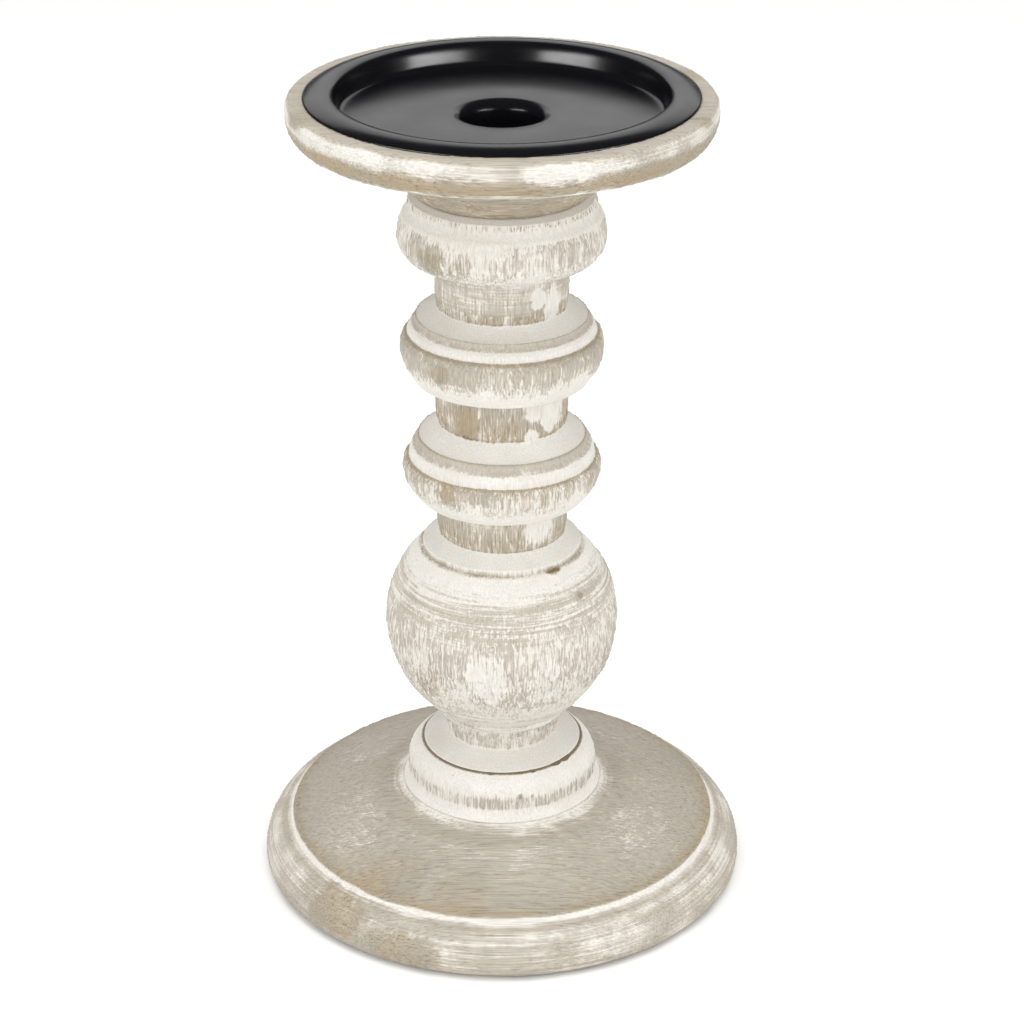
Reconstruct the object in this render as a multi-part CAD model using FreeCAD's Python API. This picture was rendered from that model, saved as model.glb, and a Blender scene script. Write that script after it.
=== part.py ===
"""Turned wooden candlestick with a lift-out black steel tray.

Millimetres, +Z up.  The origin is the middle of the felt's underside, so the
part stands on Z = 0.  Four turned column pieces stand on the base and carry the
plate; a tie rod clamps the column to the base and three screws hold the plate.
Each turned piece is a half section revolved about +Z.  A size named _IN is
measured inwards from the piece's widest radius, and one named _RISE upwards
from the feature before it.
"""
import FreeCAD, Part
import os
from collections import namedtuple
from math import acos, atan2, cos, degrees, pi, radians, sin, tan

# ---------------------------------------------------------------- driving sizes
# Felt and base disc
FELT_THICKNESS = 1.0
FELT_SETBACK = 3.0            # from the edge of the flat underside
BASE_R = 76.9                 # widest radius, low on the quarter-round rim
BASE_EDGE = 2.5               # rounded lower edge
BASE_RIM_IN = 7.6             # top of the rim
BASE_RIM_RISE = 11.7
BASE_NOSE_IN = 9.2            # crisp edge of the domed top
BASE_NOSE_RISE = 2.0
BASE_DOME_RISE = 9.2
BASE_DOME_SWELL = 0.7         # the top swells this much above a straight cone
BASE_COVE_RISE = 2.0          # hollow between the dome and the seat
BASE_COVE_WIDTH = 5.2
BASE_POCKET_DEPTH = 12.0
SEAT_R = 31.8                 # seat of the foot collar

# Foot collar
FOOT_WAIST_R = 30.0
FOOT_FLARE_RISE = 4.2
FOOT_WAIST_RISE = 3.3
FOOT_SHOULDER_RISE = 6.8

# Ball spindle: flange, neck, ball, shoulder, collar
FLANGE_R = 25.0
FLANGE_EDGE = 0.5
FLANGE_RISE = 3.4
FLANGE_LEDGE = 0.3            # the foot collar shows this much beyond the flange
NECK_R = 17.4
NECK_TOP_R = 18.9
NECK_RISE = 7.1
NECK_RING_RISE = 2.8          # small swelling between the neck and the ball
NECK_RING_SWELL = 0.7
BALL_R = 36.2
BALL_FOOT_IN = 15.0
BALL_LOWER_RISE = 30.7
BALL_HEAD_IN = 10.3
BALL_UPPER_RISE = 24.1
BALL_SHOULDER_IN = 11.6
BALL_GROOVE_RISE = 2.1
BALL_SLOPE_RISE = 3.6

# Plain collars of the column
COLLAR_R = 19.9
COLLAR_FOOT_R = 19.5
COLLAR_EASE = 3.0             # height over which a collar's foot widens
LOWER_COLLAR_LENGTH = 12.3
MIDDLE_COLLAR_LENGTH = 14.5
UPPER_COLLAR_LENGTH = 14.7

# The two beads that start a spindle: bead, white band, groove and shoulder
Bead = namedtuple("Bead", "widest_r foot_in edge_in band_in shoulder_in "
                          "widest_rise edge_rise band_rise groove_rise slope_rise")
MIDDLE_BEAD = Bead(widest_r=30.3, foot_in=4.7, edge_in=1.4, band_in=2.9, shoulder_in=4.6,
                   widest_rise=10.2, edge_rise=2.9, band_rise=4.0, groove_rise=2.8,
                   slope_rise=4.3)
LOWER_BEAD = Bead(widest_r=30.7, foot_in=4.2, edge_in=1.7, band_in=3.4, shoulder_in=4.7,
                  widest_rise=11.3, edge_rise=3.6, band_rise=3.1, groove_rise=2.1,
                  slope_rise=2.9)
QUIRK = 0.4                   # depth of the fine cut at a bead's upper edge
HOLLOW = 0.4                  # how far the small slopes and flares are hollowed
NECK_HOLLOW = 0.2

# Plate: boss, cove, lip and rounded edge
PLATE_R = 63.3
BOSS_WALL = 4.55              # wood outside the circle of the screws
PLATE_COVE_IN = 7.7           # outer end of the cove
PLATE_COVE_RISE = 17.6
PLATE_COVE_HOLLOW = 1.7
PLATE_LIP_IN = 3.3
PLATE_LIP_RISE = 0.4
PLATE_SIDE_RISE = 8.0
PLATE_TOP_IN = 1.5
PLATE_TOP_RISE = 3.1

# Top bead of the upper spindle, out from the plate's boss
TOP_BEAD_FOOT_OUT = -0.6
TOP_BEAD_OUT = 6.2
TOP_BEAD_WIDEST_RISE = 7.9
TOP_BEAD_EDGE_OUT = 4.8
TOP_BEAD_EDGE_RISE = 6.9
TOP_BEAD_RING_OUT = 2.8
TOP_BEAD_RING_RISE = 4.8
TOP_BEAD_LEDGE = 0.5          # flat top shows this much beyond the boss
TOP_BEAD_TOP_RISE = 1.1

# Steel tray, in from the plate's widest radius and down from the rim's crown
SHEET = 1.0
RIM_IN = 5.3                  # outer edge of the arched rim
RIM_CROWN_IN = 10.8
RIM_CROWN_RISE = 2.0          # above the plate's top face
RIM_ARCH_R = 10.0
RIM_FALL = 12.0               # degrees the arch turns past its crown to the bend
RIM_BEND_R = 2.0              # tight bend between the arch and the wall
WALL_SLOPE = 76.0             # degrees from level
TRAY_DEPTH = 7.1
CORNER_R = 2.0                # bend between the wall and the floor
CUP_R = 11.6                  # bore for a 22 mm taper candle
CUP_MOUTH_R = 3.5             # rounded mouth of the cup
CUP_DEPTH = 18.0
CUP_FLOOR_R = 1.5             # bend at the cup's floor

# Clearances
TRAY_SIDE_CLEARANCE = 0.7
TRAY_FLOOR_CLEARANCE = 0.3
CUP_CLEARANCE = 0.4
CUP_END_CLEARANCE = 0.8
SPIGOT_CLEARANCE = 0.15
SPIGOT_END_CLEARANCE = 0.5
ROD_CLEARANCE = 0.6
POCKET_CLEARANCE = 0.9
HEAD_CLEARANCE = 0.1
ROD_HEADROOM = 1.4            # from the rod's top to the plate spigot's top
SCREW_MARGIN = 0.5            # from the mouth's chamfer to the screw heads

# Spigots that locate the stack
FOOT_SPIGOT_R = 15.0
FOOT_SPIGOT_LENGTH = 6.0
SPIGOT_R = 11.0
SPIGOT_LENGTH = 8.0

# Hardware: M8 rod with nuts and washers, and the plate's wood screws
ROD_R = 3.9
ROD_END = 2.0                 # rod beyond each nut
NUT_WALL = 2.6                # rod's surface to a flat of the nut
NUT_HEIGHT = 6.5
NUT_FACE_IN = 0.3             # round face inside the nut's flats
NUT_CHAMFER_SLOPE = 30.0      # degrees from level
THREAD_DEPTH = 0.55           # how far the nut's thread reaches into the rod's
WASHER_THICKNESS = 1.6
TOP_WASHER_WIDTH = 4.1        # rod's surface to the washer's edge
BOTTOM_WASHER_WIDTH = 8.1
SCREW_COUNT = 3
SCREW_R = 2.0
SCREW_LENGTH = 36.0
SCREW_TIP = 4.0
SCREW_POINT_R = 0.4
SCREW_HEAD_R = 4.0
SCREW_HEAD_HEIGHT = 2.4
SCREW_BITE = 0.5              # thread depth cut into the spindle
DRIVE_WIDTH = 1.0             # cross recess in the screw's head
DRIVE_LENGTH = 4.4
DRIVE_DEPTH = 1.5

# ---------------------------------------------------------------- stack heights
BASE_HEIGHT = (BASE_EDGE + BASE_RIM_RISE + BASE_NOSE_RISE + BASE_DOME_RISE
               + BASE_COVE_RISE)
FOOT_HEIGHT = FOOT_FLARE_RISE + FOOT_WAIST_RISE + FOOT_SHOULDER_RISE
BALL_FOOT_HEIGHT = FLANGE_EDGE + FLANGE_RISE + NECK_RISE + NECK_RING_RISE
BALL_HEAD_HEIGHT = BALL_FOOT_HEIGHT + BALL_LOWER_RISE + BALL_UPPER_RISE
BALL_COLLAR_HEIGHT = BALL_HEAD_HEIGHT + BALL_GROOVE_RISE + BALL_SLOPE_RISE
BALL_SPINDLE_HEIGHT = BALL_COLLAR_HEIGHT + LOWER_COLLAR_LENGTH
MIDDLE_BEAD_HEIGHT = (MIDDLE_BEAD.widest_rise + MIDDLE_BEAD.edge_rise
                      + MIDDLE_BEAD.band_rise + MIDDLE_BEAD.groove_rise)
MIDDLE_SPINDLE_HEIGHT = MIDDLE_BEAD_HEIGHT + MIDDLE_BEAD.slope_rise + MIDDLE_COLLAR_LENGTH
LOWER_BEAD_HEIGHT = (LOWER_BEAD.widest_rise + LOWER_BEAD.edge_rise
                     + LOWER_BEAD.band_rise + LOWER_BEAD.groove_rise)
TOP_BEAD_HEIGHT = (TOP_BEAD_WIDEST_RISE + TOP_BEAD_EDGE_RISE + TOP_BEAD_RING_RISE
                   + TOP_BEAD_TOP_RISE)
UPPER_SPINDLE_HEIGHT = (LOWER_BEAD_HEIGHT + LOWER_BEAD.slope_rise + UPPER_COLLAR_LENGTH
                        + TOP_BEAD_HEIGHT)
PLATE_HEIGHT = PLATE_COVE_RISE + PLATE_LIP_RISE + PLATE_SIDE_RISE + PLATE_TOP_RISE

BASE_Z = FELT_THICKNESS
FOOT_Z = BASE_Z + BASE_HEIGHT
BALL_Z = FOOT_Z + FOOT_HEIGHT
MIDDLE_Z = BALL_Z + BALL_SPINDLE_HEIGHT
UPPER_Z = MIDDLE_Z + MIDDLE_SPINDLE_HEIGHT
PLATE_Z = UPPER_Z + UPPER_SPINDLE_HEIGHT
PLATE_TOP_Z = PLATE_Z + PLATE_HEIGHT
CROWN_Z = PLATE_TOP_Z + RIM_CROWN_RISE
TRAY_FLOOR_Z = CROWN_Z - TRAY_DEPTH
CUP_FLOOR_Z = TRAY_FLOOR_Z - CUP_DEPTH

# ---------------------------------------------------------------- sizes from the fits
ROD_BORE_R = ROD_R + ROD_CLEARANCE
PLATE_BORE_R = CUP_R + SHEET + CUP_CLEARANCE
MOUTH_CHAMFER = CUP_MOUTH_R - SHEET + CUP_CLEARANCE
PLATE_SPIGOT_R = PLATE_BORE_R - SPIGOT_CLEARANCE
PLATE_SPIGOT_TOP_Z = CUP_FLOOR_Z - SHEET - CUP_END_CLEARANCE
RIM_R = PLATE_R - RIM_IN
RIM_CROWN_R = PLATE_R - RIM_CROWN_IN
RIM_BEND_CENTRE_R = RIM_CROWN_R - (RIM_ARCH_R - RIM_BEND_R) * sin(radians(RIM_FALL))
RECESS_R = RIM_BEND_CENTRE_R - RIM_BEND_R + SHEET + TRAY_SIDE_CLEARANCE
RECESS_Z = TRAY_FLOOR_Z - SHEET - TRAY_FLOOR_CLEARANCE
TOP_WASHER_R = ROD_R + TOP_WASHER_WIDTH
TOP_POCKET_R = TOP_WASHER_R + POCKET_CLEARANCE
TOP_POCKET_Z = PLATE_SPIGOT_TOP_Z - ROD_HEADROOM - ROD_END - NUT_HEIGHT - WASHER_THICKNESS
TOP_NUT_Z = TOP_POCKET_Z + WASHER_THICKNESS
BOTTOM_WASHER_R = ROD_R + BOTTOM_WASHER_WIDTH
BOTTOM_POCKET_R = BOTTOM_WASHER_R + POCKET_CLEARANCE
BOTTOM_POCKET_Z = BASE_Z + BASE_POCKET_DEPTH
BOTTOM_NUT_Z = BOTTOM_POCKET_Z - WASHER_THICKNESS - NUT_HEIGHT
SCREW_CIRCLE_R = PLATE_BORE_R + MOUTH_CHAMFER + SCREW_MARGIN + SCREW_HEAD_R
BOSS_R = SCREW_CIRCLE_R + BOSS_WALL
UP = FreeCAD.Vector(0, 0, 1)


# ---------------------------------------------------------------- drawing helpers
class Outline:
    """Half section of a turned piece, walked from point to point."""

    def __init__(self, r, z):
        self.here = self.start = FreeCAD.Vector(r, 0, z)
        self.edges = []

    def join(self, edge, end):
        self.edges.append(edge)
        self.here = end
        return self

    def line(self, r, rise):
        """Straight to radius r, rise higher than here."""
        end = FreeCAD.Vector(r, 0, self.here.z + rise)
        return self.join(Part.makeLine(self.here, end), end)

    def bow(self, r, rise, depth):
        """Arc to radius r, rise higher, bowed to the left of its travel by depth."""
        end = FreeCAD.Vector(r, 0, self.here.z + rise)
        chord = end - self.here
        left = FreeCAD.Vector(-chord.z, 0, chord.x).normalize()
        middle = (self.here + end) * 0.5 + left * depth
        return self.join(Part.Arc(self.here, middle, end).toShape(), end)

    def turn(self, radius, start, stop):
        """Arc about a centre between two angles in degrees, measured up from +R."""
        centre = self.here - at_angle(start) * radius
        middle = centre + at_angle((start + stop) / 2) * radius
        end = centre + at_angle(stop) * radius
        return self.join(Part.Arc(self.here, middle, end).toShape(), end)

    def to_widest(self, r, rise):
        """Arc to the widest radius, where it stands upright."""
        end = FreeCAD.Vector(r, 0, self.here.z + rise)
        return self.join(upright_arc(self.here, end), end)

    def from_widest(self, r, rise):
        """Arc away from the widest radius, where it stands upright."""
        end = FreeCAD.Vector(r, 0, self.here.z + rise)
        return self.join(upright_arc(end, self.here), end)

    def solid(self):
        wire = Part.Wire(self.edges + [Part.makeLine(self.here, self.start)])
        return Part.Face(wire).revolve(FreeCAD.Vector(0, 0, 0), UP, 360)


def at_angle(degrees_up):
    return FreeCAD.Vector(cos(radians(degrees_up)), 0, sin(radians(degrees_up)))


def upright_arc(end, widest):
    """Arc between two points that is upright at the widest of them."""
    inwards = widest.x - end.x
    up = end.z - widest.z
    radius = (inwards * inwards + up * up) / (2 * inwards)
    half_turn = atan2(up, radius - inwards) / 2
    middle = FreeCAD.Vector(widest.x - radius + radius * cos(half_turn), 0,
                            widest.z + radius * sin(half_turn))
    return Part.Arc(end, middle, widest).toShape()


def cylinder(r, bottom_z, top_z, x=0.0, y=0.0):
    return Part.makeCylinder(r, top_z - bottom_z, FreeCAD.Vector(x, y, bottom_z))


def bore(solid, r, bottom_z, top_z):
    return solid.cut(cylinder(r, bottom_z, top_z))


def add_spigot(solid, r, z, length):
    """Spigot under a piece, bored for the rod like the piece."""
    return bore(solid.fuse(cylinder(r, z - length, z)), ROD_BORE_R, z - length, z)


def cut_socket(solid, spigot_r, z, length):
    """Socket in a piece's top face for the spigot of the piece above."""
    return bore(solid, spigot_r + SPIGOT_CLEARANCE, z - length - SPIGOT_END_CLEARANCE, z)


# ---------------------------------------------------------------- turned wood
def base_disc():
    outline = Outline(ROD_BORE_R, BASE_Z)
    outline.line(BASE_R - BASE_EDGE, 0)
    outline.to_widest(BASE_R, BASE_EDGE)
    outline.from_widest(BASE_R - BASE_RIM_IN, BASE_RIM_RISE)
    outline.line(BASE_R - BASE_NOSE_IN, BASE_NOSE_RISE)
    outline.bow(SEAT_R + BASE_COVE_WIDTH, BASE_DOME_RISE, -BASE_DOME_SWELL)
    outline.bow(SEAT_R, BASE_COVE_RISE, BASE_COVE_RISE / 4)
    outline.line(ROD_BORE_R, 0)
    disc = cut_socket(outline.solid(), FOOT_SPIGOT_R, FOOT_Z, FOOT_SPIGOT_LENGTH)
    return bore(disc, BOTTOM_POCKET_R, BASE_Z, BOTTOM_POCKET_Z)


def foot_collar():
    outline = Outline(ROD_BORE_R, FOOT_Z)
    outline.line(SEAT_R, 0)
    outline.bow(FOOT_WAIST_R, FOOT_FLARE_RISE, HOLLOW)
    outline.line(FOOT_WAIST_R, FOOT_WAIST_RISE)
    outline.from_widest(FLANGE_R + FLANGE_LEDGE, FOOT_SHOULDER_RISE)
    outline.line(ROD_BORE_R, 0)
    collar = add_spigot(outline.solid(), FOOT_SPIGOT_R, FOOT_Z, FOOT_SPIGOT_LENGTH)
    return cut_socket(collar, SPIGOT_R, BALL_Z, SPIGOT_LENGTH)


def walk_collar(outline, slope_rise, length):
    """Sloping top of a shoulder, then the plain collar that stands on it."""
    outline.bow(COLLAR_FOOT_R, slope_rise, HOLLOW)
    outline.line(COLLAR_R, COLLAR_EASE)
    outline.line(COLLAR_R, length - COLLAR_EASE)


def ball_spindle():
    outline = Outline(ROD_BORE_R, BALL_Z)
    outline.line(FLANGE_R, 0)
    outline.line(FLANGE_R, FLANGE_EDGE)
    outline.bow(NECK_R, FLANGE_RISE, HOLLOW)
    outline.bow(NECK_TOP_R, NECK_RISE, NECK_HOLLOW)
    outline.bow(BALL_R - BALL_FOOT_IN, NECK_RING_RISE, -NECK_RING_SWELL)
    outline.to_widest(BALL_R, BALL_LOWER_RISE)
    outline.from_widest(BALL_R - BALL_HEAD_IN, BALL_UPPER_RISE)
    outline.line(BALL_R - BALL_SHOULDER_IN, QUIRK)
    outline.line(BALL_R - BALL_SHOULDER_IN, BALL_GROOVE_RISE - QUIRK)
    walk_collar(outline, BALL_SLOPE_RISE, LOWER_COLLAR_LENGTH)
    outline.line(ROD_BORE_R, 0)
    spindle = add_spigot(outline.solid(), SPIGOT_R, BALL_Z, SPIGOT_LENGTH)
    return cut_socket(spindle, SPIGOT_R, MIDDLE_Z, SPIGOT_LENGTH)


def walk_bead(outline, bead):
    """Bead, band and groove of a spindle, from its underside upwards."""
    outline.line(bead.widest_r - bead.foot_in, 0)
    outline.to_widest(bead.widest_r, bead.widest_rise)
    outline.from_widest(bead.widest_r - bead.edge_in, bead.edge_rise)
    outline.line(bead.widest_r - bead.edge_in - QUIRK, QUIRK)
    outline.bow(bead.widest_r - bead.band_in, bead.band_rise - QUIRK, -QUIRK)
    outline.bow(bead.widest_r - bead.shoulder_in, bead.groove_rise, QUIRK)


def middle_spindle():
    outline = Outline(ROD_BORE_R, MIDDLE_Z)
    walk_bead(outline, MIDDLE_BEAD)
    walk_collar(outline, MIDDLE_BEAD.slope_rise, MIDDLE_COLLAR_LENGTH)
    outline.line(ROD_BORE_R, 0)
    spindle = add_spigot(outline.solid(), SPIGOT_R, MIDDLE_Z, SPIGOT_LENGTH)
    return cut_socket(spindle, SPIGOT_R, UPPER_Z, SPIGOT_LENGTH)


def upper_spindle():
    outline = Outline(ROD_BORE_R, UPPER_Z)
    walk_bead(outline, LOWER_BEAD)
    walk_collar(outline, LOWER_BEAD.slope_rise, UPPER_COLLAR_LENGTH - QUIRK)
    outline.line(BOSS_R + TOP_BEAD_FOOT_OUT, QUIRK)
    outline.to_widest(BOSS_R + TOP_BEAD_OUT, TOP_BEAD_WIDEST_RISE)
    outline.from_widest(BOSS_R + TOP_BEAD_EDGE_OUT, TOP_BEAD_EDGE_RISE)
    outline.bow(BOSS_R + TOP_BEAD_RING_OUT, TOP_BEAD_RING_RISE, QUIRK)
    outline.line(BOSS_R + TOP_BEAD_LEDGE, TOP_BEAD_TOP_RISE)
    outline.line(ROD_BORE_R, 0)
    spindle = add_spigot(outline.solid(), SPIGOT_R, UPPER_Z, SPIGOT_LENGTH)
    spindle = spindle.fuse(cylinder(PLATE_SPIGOT_R, TOP_POCKET_Z, PLATE_SPIGOT_TOP_Z))
    spindle = bore(spindle, TOP_POCKET_R, TOP_POCKET_Z, PLATE_SPIGOT_TOP_Z)
    pilots = [cylinder(SCREW_R - SCREW_BITE, RECESS_Z - SCREW_LENGTH, PLATE_Z, x, y)
              for x, y in screw_places()]
    return spindle.cut(Part.makeCompound(pilots))


def top_plate():
    outline = Outline(PLATE_BORE_R, PLATE_Z)
    outline.line(BOSS_R, 0)
    outline.bow(PLATE_R - PLATE_COVE_IN, PLATE_COVE_RISE, PLATE_COVE_HOLLOW)
    outline.line(PLATE_R - PLATE_LIP_IN, PLATE_LIP_RISE)
    outline.to_widest(PLATE_R, PLATE_SIDE_RISE)
    outline.from_widest(PLATE_R - PLATE_TOP_IN, PLATE_TOP_RISE)
    outline.line(PLATE_BORE_R, 0)
    plate = bore(outline.solid(), RECESS_R, RECESS_Z, PLATE_TOP_Z)
    mouth = Part.makeCone(PLATE_BORE_R, PLATE_BORE_R + MOUTH_CHAMFER, MOUTH_CHAMFER,
                          FreeCAD.Vector(0, 0, RECESS_Z - MOUTH_CHAMFER))
    holes = [screw(x, y, HEAD_CLEARANCE) for x, y in screw_places()]
    return plate.cut(Part.makeCompound(holes + [mouth]))


# ---------------------------------------------------------------- steel tray
def tray_skin():
    """Upper face of the pressed sheet, from the rim's outer edge to the axis."""
    rim_angle = degrees(acos((RIM_R - RIM_CROWN_R) / RIM_ARCH_R))
    arch_centre_z = CROWN_Z - RIM_ARCH_R
    outline = Outline(RIM_R, arch_centre_z + RIM_ARCH_R * sin(radians(rim_angle)))
    outline.turn(RIM_ARCH_R, rim_angle, 90 + RIM_FALL)
    outline.turn(RIM_BEND_R, 90 + RIM_FALL, 90 + WALL_SLOPE)
    corner_drop = CORNER_R * (1 - cos(radians(WALL_SLOPE)))
    wall_drop = outline.here.z - TRAY_FLOOR_Z - corner_drop
    outline.line(outline.here.x - wall_drop / tan(radians(WALL_SLOPE)), -wall_drop)
    outline.turn(CORNER_R, WALL_SLOPE - 90, -90)
    outline.line(CUP_R + CUP_MOUTH_R, 0)
    outline.turn(CUP_MOUTH_R, 90, 180)
    outline.line(CUP_R, CUP_MOUTH_R + CUP_FLOOR_R - CUP_DEPTH)
    outline.turn(CUP_FLOOR_R, 0, -90)
    return outline.line(0, 0)


def candle_tray():
    """One sheet pressed to the skin, its outer edge ground flat where it stands."""
    wire = Part.Wire(tray_skin().edges)
    section = wire.makeOffset2D(SHEET, 0, True, True)
    sheet = section.revolve(FreeCAD.Vector(0, 0, 0), UP, 360)
    wood = bore(cylinder(PLATE_R, RECESS_Z, PLATE_TOP_Z), RECESS_R, RECESS_Z, PLATE_TOP_Z)
    return sheet.cut(wood)


# ---------------------------------------------------------------- felt and hardware
def felt_pad():
    return cylinder(BASE_R - BASE_EDGE - FELT_SETBACK, 0, FELT_THICKNESS)


def hex_nut(bottom_z):
    flat_r = ROD_R + NUT_WALL
    corner_r = flat_r / cos(pi / 6)
    corners = [FreeCAD.Vector(corner_r * cos(k * pi / 3), corner_r * sin(k * pi / 3), bottom_z)
               for k in range(7)]
    prism = Part.Face(Part.makePolygon(corners)).extrude(UP * NUT_HEIGHT)
    face_r = flat_r - NUT_FACE_IN
    chamfer = (corner_r - face_r) * tan(radians(NUT_CHAMFER_SLOPE))
    outline = Outline(0, bottom_z)
    outline.line(face_r, 0)
    outline.line(corner_r, chamfer)
    outline.line(corner_r, NUT_HEIGHT - 2 * chamfer)
    outline.line(face_r, chamfer)
    outline.line(0, 0)
    nut = prism.common(outline.solid())
    return bore(nut, ROD_R - THREAD_DEPTH, bottom_z, bottom_z + NUT_HEIGHT)


def washer(r, bottom_z):
    ring = cylinder(r, bottom_z, bottom_z + WASHER_THICKNESS)
    return bore(ring, ROD_BORE_R - ROD_CLEARANCE / 2, bottom_z, bottom_z + WASHER_THICKNESS)


def tie_rod():
    rod = cylinder(ROD_R, BOTTOM_NUT_Z - ROD_END, TOP_NUT_Z + NUT_HEIGHT + ROD_END)
    return rod.makeChamfer(THREAD_DEPTH, [edge for edge in rod.Edges if edge.Closed])


def screw_places():
    turns = [2 * pi * k / SCREW_COUNT + pi / 2 for k in range(SCREW_COUNT)]
    return [(SCREW_CIRCLE_R * cos(turn), SCREW_CIRCLE_R * sin(turn)) for turn in turns]


def screw(x, y, clearance):
    """Countersunk wood screw under the tray; with a clearance, the hole for it."""
    outline = Outline(0, RECESS_Z)
    outline.line(SCREW_HEAD_R + clearance, 0)
    outline.line(SCREW_R + clearance, -SCREW_HEAD_HEIGHT - clearance)
    outline.line(SCREW_R + clearance, SCREW_HEAD_HEIGHT + clearance + SCREW_TIP
                 - SCREW_LENGTH)
    outline.line(SCREW_POINT_R, -SCREW_TIP)
    outline.line(0, 0)
    return outline.solid().translated(FreeCAD.Vector(x, y, 0))


def plate_screws():
    screws = []
    for x, y in screw_places():
        floor = FreeCAD.Vector(x, y, RECESS_Z - DRIVE_DEPTH)
        slots = [Part.makeBox(long, wide, DRIVE_DEPTH,
                              floor - FreeCAD.Vector(long / 2, wide / 2, 0))
                 for long, wide in ((DRIVE_LENGTH, DRIVE_WIDTH), (DRIVE_WIDTH, DRIVE_LENGTH))]
        screws.append(screw(x, y, 0.0).cut(slots[0].fuse(slots[1])))
    return Part.makeCompound(screws)


# ---------------------------------------------------------------- every sub-part
PIECES = {
    "felt_pad": felt_pad(),
    "base_disc": base_disc(),
    "foot_collar": foot_collar(),
    "ball_spindle": ball_spindle(),
    "middle_spindle": middle_spindle(),
    "upper_spindle": upper_spindle(),
    "top_plate": top_plate(),
    "candle_tray": candle_tray(),
    "tie_rod": tie_rod(),
    "bottom_washer": washer(BOTTOM_WASHER_R, BOTTOM_POCKET_Z - WASHER_THICKNESS),
    "bottom_nut": hex_nut(BOTTOM_NUT_Z),
    "top_washer": washer(TOP_WASHER_R, TOP_POCKET_Z),
    "top_nut": hex_nut(TOP_NUT_Z),
    "plate_screws": plate_screws(),
}

os.makedirs("parts", exist_ok=True)
for node, shape in PIECES.items():
    if not shape.isValid():
        raise ValueError(node + " is not a valid solid")
    shape.exportStep("parts/" + node + ".step")
    print(node, len(shape.Solids), "solid(s),", round(shape.Volume / 1000, 2), "cm3")
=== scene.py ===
"""Whitewashed wooden candlestick with a black steel tray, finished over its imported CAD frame."""

import math

import bmesh
import bpy
from bpy.props import FloatProperty, FloatVectorProperty, IntProperty, PointerProperty
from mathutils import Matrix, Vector


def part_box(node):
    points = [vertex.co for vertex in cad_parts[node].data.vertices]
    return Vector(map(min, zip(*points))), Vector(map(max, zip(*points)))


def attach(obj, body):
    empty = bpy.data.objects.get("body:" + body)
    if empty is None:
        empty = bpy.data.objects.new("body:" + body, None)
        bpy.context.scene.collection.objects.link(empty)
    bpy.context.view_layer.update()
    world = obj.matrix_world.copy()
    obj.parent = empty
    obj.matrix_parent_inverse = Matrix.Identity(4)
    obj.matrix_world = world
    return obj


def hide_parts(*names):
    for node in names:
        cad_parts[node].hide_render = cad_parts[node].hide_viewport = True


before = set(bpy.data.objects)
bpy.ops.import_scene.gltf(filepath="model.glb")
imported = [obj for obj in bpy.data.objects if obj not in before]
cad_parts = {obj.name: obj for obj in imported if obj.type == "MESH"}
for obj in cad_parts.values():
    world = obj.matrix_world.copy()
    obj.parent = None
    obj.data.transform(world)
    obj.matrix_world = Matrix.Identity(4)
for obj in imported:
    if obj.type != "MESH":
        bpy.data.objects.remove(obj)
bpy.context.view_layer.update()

bl_info = {
    "name": "Whitewashed candlestick",
    "version": (1, 0, 0),
    "blender": (4, 5, 0),
    "location": "3D View > Sidebar > Candlestick",
    "description": "Turned wood, candle tray, hardware, felt and stage for the packed candlestick",
    "category": "Object",
}

MM = 0.001
SEATS = {node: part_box(node)[1].z for node in ("foot_collar", "ball_spindle", "middle_spindle")}
SECTION_TURN = 0.11           # radians, clear of every screw
WELD = 2e-6                   # points closer than this are one point
BEND = 0.05                   # radians, a hidden point that turns less may go
HIDDEN_SKIP = 8               # hidden faces keep each eighth ring of points
WOOD_TOLERANCE = 0.03 * MM
TRAY_TOLERANCE = 0.008 * MM
TRAY_SPACING = 0.6 * MM
FELT_EDGE = 0.3 * MM
FELT_RINGS = 24
FELT_SIDES = 220
ROUNDING = 0.0001             # keeps a whole share of a grid's points from falling short
CAMERA_PLACE = (0.0, -0.7878, 0.4963)
CAMERA_TILT = 64.57           # degrees up from straight down
CAMERA_SHIFT = 0.0098

# Kinds of nodes that are used often
MATH = "ShaderNodeMath"
VECTOR = "ShaderNodeVectorMath"
RAMP = "ShaderNodeMapRange"
MIX = "ShaderNodeMix"
OF_COLOURS = {"output": 2, "data_type": "RGBA"}
NOISE = "ShaderNodeTexNoise"
NAMED = "GeometryNodeInputNamedAttribute"
SAMPLE = "GeometryNodeSampleIndex"
STORE = "GeometryNodeStoreNamedAttribute"


def rgb(code):
    """Linear colour of an sRGB hex value."""
    parts = [int(code[i:i + 2], 16) / 255 for i in (1, 3, 5)]
    return tuple(c / 12.92 if c <= 0.04045 else ((c + 0.055) / 1.055) ** 2.4 for c in parts)


def rgba(colour):
    return (*colour, 1.0)


def add(tree, kind, links=(), operation=None, output=0, **settings):
    """Adds a node, links or sets its inputs, by their order or by key, and returns one output."""
    made = tree.nodes.new(kind)
    if operation:
        made.operation = operation
    for name, value in settings.items():
        setattr(made, name, value)
    for key, value in links.items() if isinstance(links, dict) else enumerate(links):
        if isinstance(value, bpy.types.NodeSocket):
            tree.links.new(value, made.inputs[key])
        else:
            made.inputs[key].default_value = value
    return made.outputs[output]


def linked(name, data):
    """New object with the data, in the scene."""
    made = bpy.data.objects.new(name, data)
    bpy.context.scene.collection.objects.link(made)
    return made


def colour_prop(name, description, code):
    return FloatVectorProperty(name=name, description=description, subtype="COLOR", size=3,
                               min=0.0, max=1.0, default=rgb(code))


def length_prop(name, description, size, low=0.0):
    """Length setting, given in millimetres."""
    return FloatProperty(name=name, description=description, default=size * MM, min=low * MM,
                         subtype="DISTANCE", unit="LENGTH")


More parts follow.
